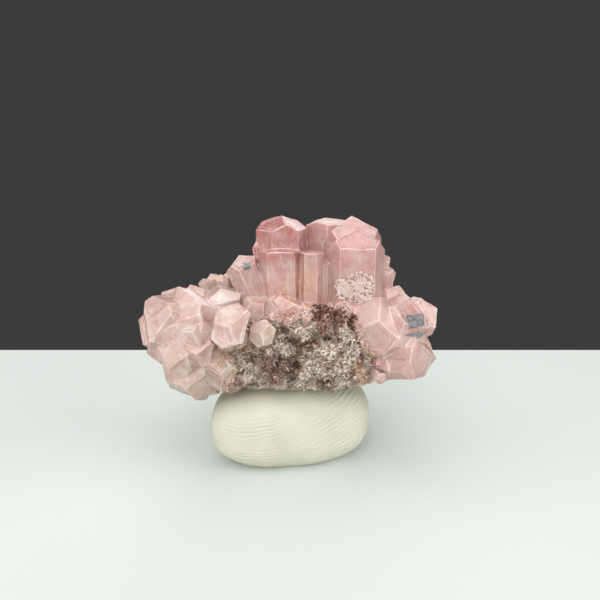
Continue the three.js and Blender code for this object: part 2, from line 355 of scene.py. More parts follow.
def finish(piece, slot, *nodes):
    """Hangs a piece on the root body, which it moves with, and hides the CAD nodes that it stands for. The
    slot, what it's made of, is not used.
    """
    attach(piece, "root")
    if nodes:
        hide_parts(*nodes)


def tree(mesh):
    """A search tree over a mesh's faces."""
    points = [vertex.co for vertex in mesh.vertices]
    return BVHTree.FromPolygons(points, [tuple(face.vertices) for face in mesh.polygons])


def seen(skin, place):
    """Where the camera's line through a place first meets a skin, its direction there, face and distance."""
    return skin.ray_cast(CAMERA_AT, place - CAMERA_AT)


def ring_faces(low, high, count):
    """The faces between two rings of count corners, whose first corners are low and high."""
    return [(low + i, low + (i + 1) % count, high + (i + 1) % count, high + i) for i in range(count)]


# ---- Crystals ----

WELD = 0.11 * MM  # corners closer than this become one
SAME = WELD / 100  # corners this close are one that the CAD lists for each face
SLIVER = WELD / 4  # faces thinner than this go
FLAT = math.radians(2)  # faces that meet at less than this become one
SHARP = math.radians(12)  # edges that turn more than this are worn
RIM = 0.06 * MM  # how far the wear goes from an edge
STRAY = 3 * RIM  # corners of a rim that are further than this from every edge were thrown out
TINY = WELD / 20  # edges shorter than this go, once the rims are cut
GRAIN = 0.45 * MM  # longest edge left on a face
SPLITS = 7  # rounds of halving, enough for the longest edge
TERRACED_AREA = 1.6 * MM ** 2  # smallest face with growth steps
TERRACE_IN = (0.10, 0.15)  # its distance from the edges by breadth: at least, and how much more at most
TERRACE_DROP = (0.02, 0.03)  # its depth in millimetres: the same
CHANCE_GRID = 0.01 * MM
ON_FACES, ON_RIMS = 0, 1  # material slots

# Waves in the faces: width and reach.
UNEVEN = (
    (3.0 * MM, 0.12 * MM),
    (1.1 * MM, 0.06 * MM),
    (0.5 * MM, 0.015 * MM),
)


def is_convex(face):
    """Whether every corner of a face turns the same way."""
    turns = []
    for loop in face.loops:
        before = loop.vert.co - loop.link_loop_prev.vert.co
        after = loop.link_loop_next.vert.co - loop.vert.co
        turns.append(before.cross(after).dot(face.normal))
    return min(turns) > 0


def breadth(face):
    """About how far the middle of a face is from its edges."""
    return 2 * face.calc_area() / face.calc_perimeter()


def terrace(body, face, step, drop):
    """Sinks the middle of a face by drop, step metres in from its edges."""
    bmesh.ops.inset_individual(body, faces=[face], thickness=step, use_even_offset=True)
    bmesh.ops.inset_individual(body, faces=[face], thickness=0.4 * drop, depth=-drop, use_even_offset=True)


def chance(face, seed):
    """An even number from 0 to 1 that depends on where a face is."""
    return noise.cell(face.calc_center_median() / CHANCE_GRID + Vector((0, 0, 1000 * seed)))


def along(edges):
    """A search tree over places all along some edges."""
    places = []
    for edge in edges:
        start, end = (vertex.co.copy() for vertex in edge.verts)
        steps = 1 + int((end - start).length / RIM)
        places += [start.lerp(end, step / steps) for step in range(steps + 1)]
    found = KDTree(len(places))
    for row, place in enumerate(places):
        found.insert(place, row)
    found.balance()
    return found


def mend(body, whole, edges):
    """Draws in corners that the rims threw out and closes faces that they overran."""
    at_rims = {vertex for face in body.faces if face.material_index == ON_RIMS for vertex in face.verts}
    for vertex in body.verts:
        place, _, _, distance = whole.find_nearest(vertex.co)
        if distance > RIM:
            vertex.co = place
        place, _, distance = edges.find(vertex.co)
        if vertex in at_rims and distance > STRAY:
            vertex.co = place
    body.normal_update()
    for face in body.faces:
        place, normal, _, _ = whole.find_nearest(face.calc_center_median())
        if face.normal.dot(normal) < 0:
            for vertex in face.verts:
                vertex.co = place
    bmesh.ops.remove_doubles(body, verts=body.verts, dist=TINY)
    bmesh.ops.dissolve_degenerate(body, dist=TINY, edges=body.edges)
    body.normal_update()


def join_faces(body):
    """Makes each flat side one face, without the slivers where crystals meet."""
    bmesh.ops.remove_doubles(body, verts=body.verts, dist=SAME)
    bmesh.ops.dissolve_limit(body, angle_limit=FLAT, verts=body.verts, edges=body.edges)
    bmesh.ops.remove_doubles(body, verts=body.verts, dist=WELD)
    bmesh.ops.dissolve_degenerate(body, dist=SLIVER, edges=body.edges)
    bmesh.ops.dissolve_limit(body, angle_limit=FLAT, verts=body.verts, edges=body.edges)
    body.normal_update()


def wear_edges(body, whole):
    """Cuts fine rounded rims along the sharp edges, none of them far from the whole crystals."""
    sharp = [edge for edge in body.edges if edge.is_manifold and edge.calc_face_angle(0) > SHARP]
    for face in body.faces:
        face.material_index = ON_FACES
    edges = along(sharp)
    rims = bmesh.ops.bevel(body, geom=sharp, offset=RIM, segments=2, profile=0.6, affect="EDGES")
    for face in rims["faces"]:
        face.material_index = ON_RIMS
    mend(body, whole, edges)


def add_growth(body):
    """Gives every face a tone of its own and the larger ones a growth step."""
    tone = body.faces.layers.float.new("tone")
    flat = [face for face in body.faces if face.material_index == ON_FACES]
    for face in body.faces:
        face[tone] = chance(face, 1)
    for face in [face for face in flat if face.calc_area() > TERRACED_AREA and is_convex(face)]:
        share = TERRACE_IN[0] + TERRACE_IN[1] * chance(face, 2)
        drop = (TERRACE_DROP[0] + TERRACE_DROP[1] * chance(face, 3)) * MM
        terrace(body, face, breadth(face) * share, drop)


def in_order(body):
    """The same mesh with its faces sorted by their corners, as the inset's order changes from run to run."""
    body.verts.index_update()
    tone = body.faces.layers.float["tone"]
    rows = []
    for face in body.faces:
        corners = [vertex.index for vertex in face.verts]
        first = corners.index(min(corners))
        rows.append((corners[first:] + corners[:first], face.material_index, face[tone]))
    fresh = bmesh.new()
    vertices = [fresh.verts.new(vertex.co) for vertex in body.verts]
    tone = fresh.faces.layers.float.new("tone")
    for corners, material_index, value in sorted(rows):
        face = fresh.faces.new([vertices[corner] for corner in corners])
        face.material_index = material_index
        face[tone] = value
    body.free()
    fresh.normal_update()
    return fresh


def refine(body):
    """Splits the faces into triangles small enough to bend."""
    bmesh.ops.triangulate(body, faces=body.faces)
    for _ in range(SPLITS):
        long = [edge for edge in body.edges if edge.calc_length() > GRAIN]
        bmesh.ops.subdivide_edges(body, edges=long, cuts=1)
        bmesh.ops.triangulate(body, faces=[face for face in body.faces if len(face.verts) > 3])


def bend(body, low, high):
    """Shifts the faces out of true, as natural ones are, without leaving the box from low to high."""
    for vertex in body.verts:
        place = vertex.co.copy()
        for width, reach in UNEVEN:
            place += noise.noise_vector(vertex.co / width) * reach
        vertex.co = [clamp(*values) for values in zip(place, low, high)]


def crystal_piece(node, name, face_material, rim_material):
    """A CAD node's crystals with whole faces, fine worn rims and growth steps on the larger faces."""
    mesh = bpy.data.meshes.new(name)
    body = bmesh.new()
    body.from_mesh(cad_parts[node].data)
    whole = BVHTree.FromBMesh(body)
    join_faces(body)
    wear_edges(body, whole)
    add_growth(body)
    body = in_order(body)
    refine(body)
    bend(body, *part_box(node))
    for face in body.faces:
        face.smooth = True
    body.to_mesh(mesh)
    body.free()
    return link_piece(name, mesh, face_material, rim_material)


# The crystals that stand alone: node, slot, colour, and where that changes.
LONE_CRYSTALS = (
    ("cream_crystal", "cream_calcite", CREAM, ((at(0.42, 0.1, 0.60), 0.3, 1.0, SAND),)),
    ("nub_crystal", "calcite", PALE_PINK, ((at(0.73, 0.1, 0.40), 0.3, 0.9, MILK),)),
    ("tan_crystals", "tan_calcite", TAN, ((at(0.25, 0.7, 0.75), 0.8, 2.0, CREAM),)),
)


# ---- Mirroring cleavages ----

# Their outlines as the camera sees them, by corners across, deep and up in shares of the size.
MIRRORS = (
    ((0.875, 0.23, 0.648), (0.930, 0.23, 0.656), (0.936, 0.23, 0.602), (0.887, 0.23, 0.598)),
    ((0.872, 0.23, 0.570), (0.919, 0.23, 0.588), (0.945, 0.23, 0.586), (0.921, 0.23, 0.558)),
    ((0.363, 0.30, 0.842), (0.388, 0.30, 0.838), (0.382, 0.30, 0.815), (0.361, 0.30, 0.810)),
)
MIRROR_STEPS = 10  # rings from the middle out, and places along each side of a ring
MIRROR_LIFT = 0.015 * MM

# Their greys along the streaks: place on the noise, and colour.
MIRROR_GREYS = (
    (0.35, (0.11, 0.105, 0.11)),
    (0.55, (0.20, 0.19, 0.20)),
    (0.70, (0.40, 0.36, 0.37)),
)


def mirror_material():
    """A dull grey cleavage, as it looks with the dark round it mirrored."""
    shader = Shader("mirroring cleavage")
    colour = shader.ramp(shader.noise(0.35 * MM, 5, 0.7, (0.6, 1, 1.3)), *MIRROR_GREYS)
    shader.set(Base_Color=colour, Roughness=0.2, IOR=CALCITE_IOR)
    shader.bump(shader.noise(0.2 * MM, 4), 0.03 * MM, 0.6)
    return shader.material


def mirror_spots(corners):
    """Places over an outline: its middle, then ring after ring outwards."""
    middle = sum(corners, Vector()) / len(corners)
    spots = [middle]
    for ring in range(1, MIRROR_STEPS + 1):
        for corner, after in zip(corners, corners[1:] + corners[:1]):
            rim = [corner.lerp(after, step / MIRROR_STEPS) for step in range(MIRROR_STEPS)]
            spots += [middle.lerp(place, ring / MIRROR_STEPS) for place in rim]
    return spots


def mirror_mesh(name, hits, count):
    """A plate through the hits, a middle one and rings of count, closed at the back and round the rim."""
    front = [place + normal * MIRROR_LIFT for place, normal, _, _ in hits]
    back = [place - normal * 2 * MIRROR_LIFT for place, normal, _, _ in hits]
    faces = [(0, 1 + (i + 1) % count, 1 + i) for i in range(count)]
    starts = [1 + ring * count for ring in range(MIRROR_STEPS)]
    for low, high in zip(starts, starts[1:]):
        faces += ring_faces(low, high, count)
    total = len(front)
    under = [tuple(corner + total for corner in reversed(face)) for face in faces]
    side = ring_faces(starts[-1], starts[-1] + total, count)
    return new_mesh(name, front + back, faces + under + side)


def add_mirrors(crystals):
    """Thin plates lying on the front of the crystals, one for each mirroring cleavage."""
    skin = tree(crystals.data)
    material = mirror_material()
    for number, outline in enumerate(MIRRORS, 1):
        hits = [seen(skin, spot) for spot in mirror_spots([at(*corner) for corner in outline])]
        if any(hit[0] is None for hit in hits):
            print("mirror", number, "misses the crystals")
            continue
        name = f"mirror_{number}"
        mesh = mirror_mesh(name, hits, MIRROR_STEPS * len(outline))
        finish(link_piece(name, mesh, material), "calcite")


# ---- Inside the crystals ----

CORE_PINK = (0.93, 0.72, 0.68)
CORE_VOXEL = 0.3 * MM
CORE_DEPTH = (0.4 * MM, 1.2 * MM)  # under the faces, where it's nearest and where it's deepest
CORE_SHARE = 0.4  # and at most this much of the crystal's thickness
CORE_CLEARNESS = (0.5, 0.9)  # between those depths: on average, and how far that varies
CORE_CLOUDS = 2.6 * MM
CORE_RIPPLES = 0.5 * MM, 0.16 * MM  # width and height


def remeshed(piece, voxel):
    """The closed skin of a piece's mesh, rebuilt with even faces of about voxel metres."""
    modifier = piece.modifiers.new("skin", "REMESH")
    modifier.mode = "VOXEL"
    modifier.voxel_size = voxel
    mesh = bpy.data.meshes.new_from_object(piece.evaluated_get(bpy.context.evaluated_depsgraph_get()))
    piece.modifiers.remove(modifier)
    return mesh


def pushed(mesh, distance):
    """Moves every vertex along its normal by distance(place, normal)."""
    moves = [vertex.normal * distance(vertex.co, vertex.normal) for vertex in mesh.vertices]
    for vertex, move in zip(mesh.vertices, moves):
        vertex.co += move


def core_material():
    """The calcite inside, pink and white in clouds."""
    shader = Shader("milky core")
    cloud = shader.remap(shader.noise(0.9 * MM, 5, 0.7), 0.42, 0.60, 0.1, 0.9)
    shader.set(Base_Color=shader.mix(cloud, shader.tinted(CORE_PINK, CALCITE_TINTS), MILK), Roughness=0.6)
    shader.bump(shader.noise(0.5 * MM, 5, 0.7), 0.1 * MM)
    return shader.material


def crystal_core(crystals, name, material):
    """The milky inside that shows through the clear skin of the crystals."""
    mesh = remeshed(crystals, CORE_VOXEL)
    skin = tree(mesh)
    ripple_width, ripple_height = CORE_RIPPLES

    def depth(place, normal):
        clearness = CORE_CLEARNESS[0] + CORE_CLEARNESS[1] * noise.noise(place / CORE_CLOUDS)
        ripple = ripple_height * noise.fractal(place / ripple_width, 0.8, 2.0, 3)
        wanted = between(CORE_DEPTH, clamp(clearness, 0, 1)) + ripple
        thickness = skin.ray_cast(place - 0.05 * MM * normal, -normal)[3] or 0
        return -min(wanted, CORE_SHARE * thickness)

    pushed(mesh, depth)
    mesh.shade_smooth()
    return link_piece(name, mesh, material)


FLAW_COUNT = 700
FLAW_DEPTH = (0.15 * MM, 0.55 * MM)
FLAW_WIDTH = 1.7  # as a share of the depth, so that it stays inside
FLAW_THICKNESS = 0.012 * MM
# Across the three directions in which calcite splits, for crystals that stand upright.
CLEAVAGES = [(math.cos(turn), math.sin(turn), 1.0) for turn in (0.4, 2.5, 4.6)]


def plate():
    """A thin six-sided plate of unit length and unit width."""
    rim = [(0.5 * math.cos(turn), 0.5 * math.sin(turn)) for turn in (0.0, 0.8, 2.2, 3.1, 4.0, 5.4)]
    points = [(x, y, 0) for x, y in rim] + [(0.96 * x, 0.96 * y, 1) for x, y in rim]
    return np.array(points), [(5, 4, 3, 2, 1, 0), (6, 7, 8, 9, 10, 11), *ring_faces(0, 6, 6)]


def crack_material():
    shader = Shader("cleavage crack")
    shader.set(Base_Color=CLEAR, Roughness=0.25, Transmission_Weight=0.35, IOR=1.3)
    return shader.material


def add_flaws(crystals):
    """Pale cleavage cracks inside the crystals, each too small to reach the faces."""
    draw = np.random.default_rng(21)
    skin = tree(crystals.data)
    places, outward = scattered(crystals.data, FLAW_COUNT, draw)
    depth = draw.uniform(*FLAW_DEPTH, FLAW_COUNT)
    inside = places - outward * depth[:, None]
    fitting = [
        row for row in range(FLAW_COUNT)
        if skin.find_nearest(Vector(inside[row]))[3] > 0.95 * depth[row]
        and skin.ray_cast(Vector(inside[row]), -Vector(outward[row]))[0]
    ]
    places, depth = inside[fitting], depth[fitting]
    directions = np.array(CLEAVAGES)[draw.integers(0, len(CLEAVAGES), len(fitting))]
    thin = np.full(len(fitting), FLAW_THICKNESS)
    cracks = sprinkled(
        "cleavage_cracks", plate(), places, directions, thin, FLAW_WIDTH * depth,
        lean=0.25, draw=draw, material=crack_material(), sunk=0.5,
    )
    finish(cracks, "calcite")


# ---- Matrix ----

BROWN = (0.24, 0.13, 0.09)
DARK_RED = (0.12, 0.03, 0.025)
UMBER = (0.06, 0.038, 0.030)
ASH = (0.34, 0.28, 0.23)
BONE = (0.60, 0.51, 0.43)
PALE_BONE = (0.74, 0.65, 0.57)
RUST = (0.42, 0.17, 0.05)
GOLD = (0.52, 0.42, 0.18)
SLATE = (0.13, 0.115, 0.105)

ROCK_LOW, ROCK_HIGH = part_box("matrix")
ROCK_VOXEL = 0.22 * MM
ROCK_SWELL = 0.32 * MM  # closes the clearance that the CAD keeps round the crystals
ROCK_LUMPS = 1.3 * MM, 0.85 * MM  # width and height
ROCK_UNDERSIDE = 0.3  # height of the lumps underneath, as a share of the others'
ROCK_SMOOTHINGS = 2
BARE_FOOT = (1.9 * MM, 0.4 * MM)  # height of the smooth rock over the pad, at the left and at the right
BARE_WAVES = 0.4 * MM, 0.8 * MM  # how far its upper edge wanders, and over what width
SMOOTH_COLOUR = (0.8, 1.5)  # where its colour begins to fade and ends, as shares of its height at the left


def rock_material():
    """Dark crumbly rock, greyer at its smooth foot."""
    shader = Shader("matrix rock")
    fine = shader.noise(0.5 * MM, 5, 0.65)
    rough_rock = shader.ramp(fine, (0.32, UMBER), (0.48, BROWN), (0.60, ASH), (0.75, BONE))
    smooth_rock = shader.ramp(shader.noise(0.9 * MM, 4, 0.6), (0.3, SLATE), (0.5, ASH), (0.7, BONE))
    fade, end = (ROCK_LOW[2] + share * BARE_FOOT[0] for share in SMOOTH_COLOUR)
    axes = shader.add("ShaderNodeSeparateXYZ")
    shader.feed(shader.place, axes.inputs[0])
    foot = shader.remap(axes.outputs["Z"], fade, end, 1.0, 0.0)
    shader.set(Base_Color=shader.mix(foot, rough_rock, smooth_rock), Roughness=0.75)
    shader.bump(shader.noise(0.25 * MM, 4), 0.08 * MM, 0.8)
    return shader.material


def rock_relief(place, normal):
    """How far the rock stands out from the CAD's, less where it would sag onto the pad."""
    width, height = ROCK_LUMPS
    lumps = noise.fractal(place / width, 0.9, 2.1, 5)
    return ROCK_SWELL + height * lumps * (1 if normal.z > -0.5 else ROCK_UNDERSIDE)


def rock_piece(material):
    """The rock itself, swollen into the crystals that grow out of it."""
    rough = link_piece("rough_rock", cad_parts["matrix"].data.copy())
    mesh = remeshed(rough, ROCK_VOXEL)
    bpy.data.objects.remove(rough)
    for _ in range(ROCK_SMOOTHINGS):
        smooth(mesh)
    pushed(mesh, rock_relief)
    mesh.shade_smooth()
    return link_piece("matrix_rock", mesh, material)


def smooth(mesh):
    """Moves every vertex most of the way to the middle of its neighbours."""
    body = bmesh.new()
    body.from_mesh(mesh)
    axes = dict(use_axis_x=True, use_axis_y=True, use_axis_z=True)
    bmesh.ops.smooth_vert(body, verts=body.verts, factor=0.7, **axes)
    body.to_mesh(mesh)
    body.free()


# ---- Small crystals ----

SUNK = 0.3  # share of a small crystal's length that is rooted in what it grows on


def shape_of(body):
    """The corners and faces of a small mesh that is to be copied."""
    points = np.array([vertex.co for vertex in body.verts])
    faces = [tuple(vertex.index for vertex in face.verts) for face in body.faces]
    body.free()
    return points, faces


def splinter():
    """A needle of unit length and unit width, widest a little below the middle and pointed at both ends."""
    belt = [(0.5, 0, 0.42), (0, 0.4, 0.36), (-0.5, 0, 0.48), (0, -0.4, 0.40)]
    points = [(0, 0, 0), *belt, (0.06, 0.05, 1.0)]
    under = [(0, 1 + (i + 1) % 4, 1 + i) for i in range(4)]
    over = [(1 + i, 1 + (i + 1) % 4, 5) for i in range(4)]
    return np.array(points), under + over


def rhomb():
    """A calcite rhomb of about unit size standing on a corner, its edges worn."""
    spread, height = math.sin(math.radians(52)), 0.42
    turns = [math.radians(turn) for turn in (0, 120, 240)]
    arms = [Vector((spread * math.cos(turn), spread * math.sin(turn), height)) for turn in turns]
    body = bmesh.new()
    steps = [(i, j, k) for i in (0, 1) for j in (0, 1) for k in (0, 1)]
    corners = [body.verts.new(arms[0] * i + arms[1] * j + arms[2] * k) for i, j, k in steps]
    bmesh.ops.convex_hull(body, input=corners)
    bmesh.ops.dissolve_limit(body, angle_limit=FLAT, verts=body.verts, edges=body.edges)
    bmesh.ops.bevel(body, geom=body.edges, offset=0.05, segments=1, affect="EDGES")
    body.normal_update()
    bmesh.ops.triangulate(body, faces=body.faces)
    points, faces = shape_of(body)
    return 0.8 * points, faces


def knob():
    """A small rounded grain of unit length and unit width."""
    body = bmesh.new()
    bmesh.ops.create_icosphere(body, subdivisions=2, radius=0.5)
    points, faces = shape_of(body)
    return points + (0, 0, 0.5), faces


def scattered(mesh, count, draw):
    """Places spread evenly over a mesh, each with its outward direction."""
    mesh.calc_loop_triangles()
    triangles = mesh.loop_triangles
    corners = np.empty(3 * len(triangles), dtype=np.int32)
    triangles.foreach_get("vertices", corners)
    points = np.empty(3 * len(mesh.vertices))
    mesh.vertices.foreach_get("co", points)
    corners = points.reshape(-1, 3)[corners.reshape(-1, 3)]
    order = np.lexsort(np.round(corners.sum(axis=1), 7).T)  # by where they are, whatever the mesh's order
    a, b, c = (corners[order, side] for side in range(3))
    across = np.cross(b - a, c - a)
    area = np.linalg.norm(across, axis=1)
    across[area > 0] /= area[area > 0, None]
    chosen = draw.choice(len(area), count, p=area / area.sum())
    u, v = draw.random((2, count, 1))
    folded = u + v > 1
    u, v = np.where(folded, 1 - u, u), np.where(folded, 1 - v, v)
    places = a[chosen] + u * (b - a)[chosen] + v * (c - a)[chosen]
    return places, across[chosen]


def sprinkled(name, shape, places, directions, lengths, widths, lean, draw, material, sunk=SUNK):
    """A piece of many copies of a shape, each rooted at a place and leaning from its direction."""
    shape_points, shape_faces = shape
    count = len(places)
    up = directions + lean * draw.normal(size=(count, 3))
    up /= np.linalg.norm(up, axis=1)[:, None]
    side = np.cross(up, draw.normal(size=(count, 3)))
    side /= np.linalg.norm(side, axis=1)[:, None]
    front = np.cross(up, side)
    x, y, z = shape_points.T
    points = (
        places[:, None]
        + side[:, None] * (x[None, :, None] * widths[:, None, None])
        + front[:, None] * (y[None, :, None] * widths[:, None, None])
        + up[:, None] * ((z[None, :, None] - sunk) * lengths[:, None, None])
    )
    faces = [
        tuple(corner + len(shape_points) * i for corner in face)
        for i in range(count) for face in shape_faces
    ]
    return link_piece(name, new_mesh(name, points.reshape(-1, 3).tolist(), faces), material)


def druse_material(name, *colours, roughness=0.22, clear=0.0, tints=()):
    """Small glassy crystals, each patch of them in its own mix of the colours."""
    shader = Shader(name)
    first, span = 0.28, 0.5  # where the colours lie on the noise
    stops = [(first + span / len(colours) * i, colour) for i, colour in enumerate(colours)]
    colour = shader.ramp(shader.noise(0.8 * MM, 2, 0.5), *stops)
    shader.set(Base_Color=shader.tinted(colour, tints), Roughness=roughness, IOR=CALCITE_IOR)
    shader.set(Transmission_Weight=clear)
    return shader.material


# ---- Druse on the matrix ----

# Its patches by kind: place across and up in shares of the size, and radius in millimetres.
DRUSE_PATCHES = {
    "dark_red": (
        (0.610, 0.640, 0.9), (0.660, 0.630, 0.8), (0.700, 0.612, 0.5),
        (0.568, 0.557, 0.6), (0.452, 0.445, 0.8), (0.649, 0.412, 0.4),
    ),
    "umber": (
        (0.520, 0.569, 0.5), (0.478, 0.477, 0.7), (0.540, 0.530, 0.4), (0.430, 0.500, 0.4),
    ),
    "white": (
        (0.473, 0.557, 0.8), (0.685, 0.596, 0.7), (0.581, 0.469, 0.8),
        (0.622, 0.525, 0.8), (0.366, 0.457, 0.9), (0.700, 0.500, 0.9),
        (0.740, 0.590, 0.6), (0.660, 0.450, 0.7), (0.550, 0.600, 0.5),
    ),
    "golden": ((0.726, 0.565, 0.6), (0.740, 0.537, 0.5)),
    "peach": (
        (0.360, 0.690, 0.9), (0.400, 0.655, 0.7), (0.445, 0.695, 0.6), (0.500, 0.705, 0.5),
        (0.560, 0.705, 0.5), (0.620, 0.712, 0.4), (0.680, 0.705, 0.5), (0.740, 0.690, 0.5),
    ),
    "rusty": (
        (0.720, 0.424, 0.4), (0.726, 0.453, 0.4), (0.747, 0.400, 0.4), (0.372, 0.535, 0.6),
    ),
}
PATCH_WANDER = 0.7 * MM, 0.9 * MM  # how far the patches' edges wander, and over what width
PATCH_EDGE = 0.4  # nearness at which a patch ends
PATCH_SHARE = 0.9  # of the crystals in a patch are of its kind
# Outside the patches: each kind above its tone, and umber below.
DRUSE_TONES = ((0.35, "white"), (0.0, "grey"), (-0.4, "brown"))
TONE_WIDTH = 1.5 * MM
TONE_SCATTER = 0.08

DRUSE_COUNT = 45000
DRUSE_LENGTH = (0.2 * MM, 0.75 * MM)
DRUSE_WIDTH = (0.2, 0.5)  # as a share of the length
STRAND_COUNT = 9000
STRAND_LENGTH = (0.35 * MM, 0.95 * MM)
STRAND_WIDTH = (0.1, 0.2)
STRAND_LEAN, DRUSE_LEAN = 1.8, 0.6
DRUSE_COLOURS = {
    "white": (ASH, BONE, PALE_BONE),
    "grey": (UMBER, ASH, BONE),
    "brown": (UMBER, BROWN, ASH),
    "umber": (UMBER, UMBER, BROWN),
    "dark_red": (UMBER, DARK_RED, BROWN),
    "golden": (GOLD, BONE, MILK),
    "peach": (PEACH, CREAM, MILK),
    "rusty": (BROWN, RUST, BONE),
}
# The kind of the strands among each kind of druse, where that differs.
PALER = {"umber": "brown", "brown": "grey", "grey": "white", "dark_red": "brown", "rusty": "golden"}
BURIED = 1.2 * MM  # no druse grows where a big crystal is nearer than this


def nearness(distance, radius):
    """1 at the centre of a spot, 0 at twice its radius in millimetres."""
    return 1 - min(distance / (2 * radius * MM), 1)


def bare_height(place):
    """Up to where the rock is smooth, round a place."""
    left, right = BARE_FOOT
    wander, width = BARE_WAVES
    across = (place.x - ROCK_LOW[0]) / (ROCK_HIGH[0] - ROCK_LOW[0])
    return ROCK_LOW[2] + left + (right - left) * across + wander * noise.noise(place / width)


def patch_of(place):
    """The kind of druse patch that a place is in, if any."""
    wander, width = PATCH_WANDER
    warped = place + wander * noise.noise_vector(place / width)
    best, found = PATCH_EDGE, None
    for kind, patches in DRUSE_PATCHES.items():
        for across, up, radius in patches:
            centre = at(across, 0, up)
            near = nearness(math.hypot(warped.x - centre.x, warped.z - centre.z), radius)
            if near > best:
                best, found = near, kind
    return found


def druse_kind(place, draw):
    """Which of the druse's colours grows at a place."""
    if draw.random() < PATCH_SHARE:
        patch = patch_of(place)
        if patch:
            return patch
    tone = noise.fractal(place / TONE_WIDTH, 0.9, 2.2, 3) + TONE_SCATTER * draw.normal()
    return next((kind for least, kind in DRUSE_TONES if tone > least), "umber")


def add_druse(rock, crystals):
    """The rock's crust: short splinters, with longer and paler strands among them."""
    draw = np.random.default_rng(7)
    total = DRUSE_COUNT + STRAND_COUNT
    places, directions = scattered(rock.data, total, draw)
    is_strand = np.arange(total) >= DRUSE_COUNT
    skin = tree(crystals.data)
    rows = {kind: [] for kind in DRUSE_COLOURS}
    for row, (place, direction) in enumerate(zip(places, directions)):
        start = Vector(place)
        if start.z < bare_height(start) or skin.ray_cast(start, Vector(direction), BURIED)[0]:
            continue
        kind = druse_kind(start, draw)
        rows[PALER.get(kind, kind) if is_strand[row] else kind].append(row)
    for kind, chosen in rows.items():
        strands = is_strand[chosen]
        spread = draw.random(len(chosen))
        lengths = np.where(strands, between(STRAND_LENGTH, spread), between(DRUSE_LENGTH, spread ** 3))
        slim, stout = (draw.uniform(*share, len(chosen)) for share in (STRAND_WIDTH, DRUSE_WIDTH))
        widths = lengths * np.where(strands, slim, stout)
        lean = np.where(strands, STRAND_LEAN, DRUSE_LEAN)[:, None]
        material = druse_material(f"{kind.replace('_', ' ')} druse", *DRUSE_COLOURS[kind])
        seats = places[chosen], directions[chosen]
        piece = sprinkled(f"druse_{kind}", splinter(), *seats, lengths, widths, lean, draw, material)
        finish(piece, "matrix")


# ---- Small growths on the big crystals ----

CONTACT_REACH = 1.3 * MM  # how far up the crystals the small ones at their roots climb
# Where those turn tan, listed as in CALCITE_TINTS.
ROOT_TINTS = [(at(across, 0.3, 0.45), 5.0, 9.0, TAN) for across in (0.25, 0.75)]
# Where crusts grow: a place on the camera's line to each spot, and the spot's radius in millimetres.
RED_PLACES = (
    (at(0.605, 0.17, 0.660), 0.7),
    (at(0.650, 0.17, 0.650), 0.7),
    (at(0.695, 0.17, 0.635), 0.5),
)
FROSTED_PLACES = (
    (at(0.69, 0.30, 0.735), 0.8),
    (at(0.73, 0.30, 0.745), 0.9),
)
# Each growth: in how many places it is tried, lengths in millimetres, widths as shares of them, lean from
# upright, share rooted.
ROOT_DRUSE = dict(tries=90000, lengths=(0.2, 0.6), widths=(0.2, 0.4), lean=0.6, sunk=SUNK)
ROOT_RHOMBS = dict(tries=8000, lengths=(0.3, 0.8), widths=(0.7, 1.1), lean=0.6, sunk=0.55)
RED_CRUST = dict(tries=240000, lengths=(0.3, 0.8), widths=(0.2, 0.4), lean=0.5, sunk=SUNK)
FROST = dict(tries=90000, lengths=(0.18, 0.4), widths=(0.9, 1.2), lean=0.5, sunk=0.6)


def grow(name, crystals, shape, draw, material, share, tries, lengths, widths, lean, sunk):
    """A piece of small calcite crystals on the big ones. They grow in a share(place) of the places tried."""
    places, directions = scattered(crystals.data, tries, draw)
    chances = draw.random(tries)
    grown = [row for row, place in enumerate(places) if chances[row] < share(Vector(place))]
    long = draw.uniform(*lengths, len(grown)) * MM
    wide = long * draw.uniform(*widths, len(grown))
    seats = places[grown], directions[grown]
    finish(sprinkled(name, shape, *seats, long, wide, lean, draw, material, sunk), "calcite")


def add_contact(crystals, rock, druse, calcite):
    """Small crystals over the seam where the big ones leave the rock, thinning out upwards."""
    draw = np.random.default_rng(11)
    ground = tree(rock.data)

    def share(place):
        distance = ground.find_nearest(place, CONTACT_REACH)[3]
        return 0 if distance is None else 1 - distance / CONTACT_REACH

    grow("root_druse", crystals, splinter(), draw, druse, share, **ROOT_DRUSE)
    grow("root_rhombs", crystals, rhomb(), draw, calcite, share, **ROOT_RHOMBS)


def add_crust(name, crystals, spots, shape, seed, material, growth):
    """Small crystals on the big ones, thick at the middle of each spot in view and thinning out round it."""
    skin = tree(crystals.data)
    centres = [(seen(skin, place)[0] or place, radius) for place, radius in spots]

    def share(place):
        near = max(nearness((place - centre).length, radius) for centre, radius in centres)
        return near * 1.5 - 0.2

    grow(name, crystals, shape, np.random.default_rng(seed), material, share, **growth)


# ---- Mineral tack ----

TACK_LOW, TACK_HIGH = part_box("mineral_tack")
TACK_WIDTH = TACK_HIGH[0] - TACK_LOW[0]
TACK_DEPTH_SHARE = 0.47  # half the depth, less the room that the skew takes
TACK_HALF = Vector((0.5 * TACK_WIDTH, TACK_DEPTH_SHARE * (TACK_HIGH[1] - TACK_LOW[1]), 4.6 * MM))
TACK_CENTRE = Vector(((TACK_LOW[0] + TACK_HIGH[0]) / 2, (TACK_LOW[1] + TACK_HIGH[1]) / 2, 3.9 * MM))
TACK_SQUARENESS = 2.7  # 2 would be an ellipsoid
TACK_SKEW = 0.13  # how much further back each step to the right lies
TACK_SECTORS = 420
TACK_RINGS = 150
TACK_DENTS = 0.12 * MM, 2.8 * MM  # depth and width
TACK_INSET = 0.1 * MM  # room inside the CAD's pad for the ridges
TACK_FOOT = 0.5 * MM  # height over which the relief begins
RIDGE_PITCH = 0.43 * MM
RIDGE_HEIGHT = 0.05 * MM
RIDGE_RISE = 0.95  # slope of the ridges on the right
RIDGE_WANDER = (0.45, 1.6 * MM), (0.15, 0.6 * MM)  # turns by which they wander, and over what width
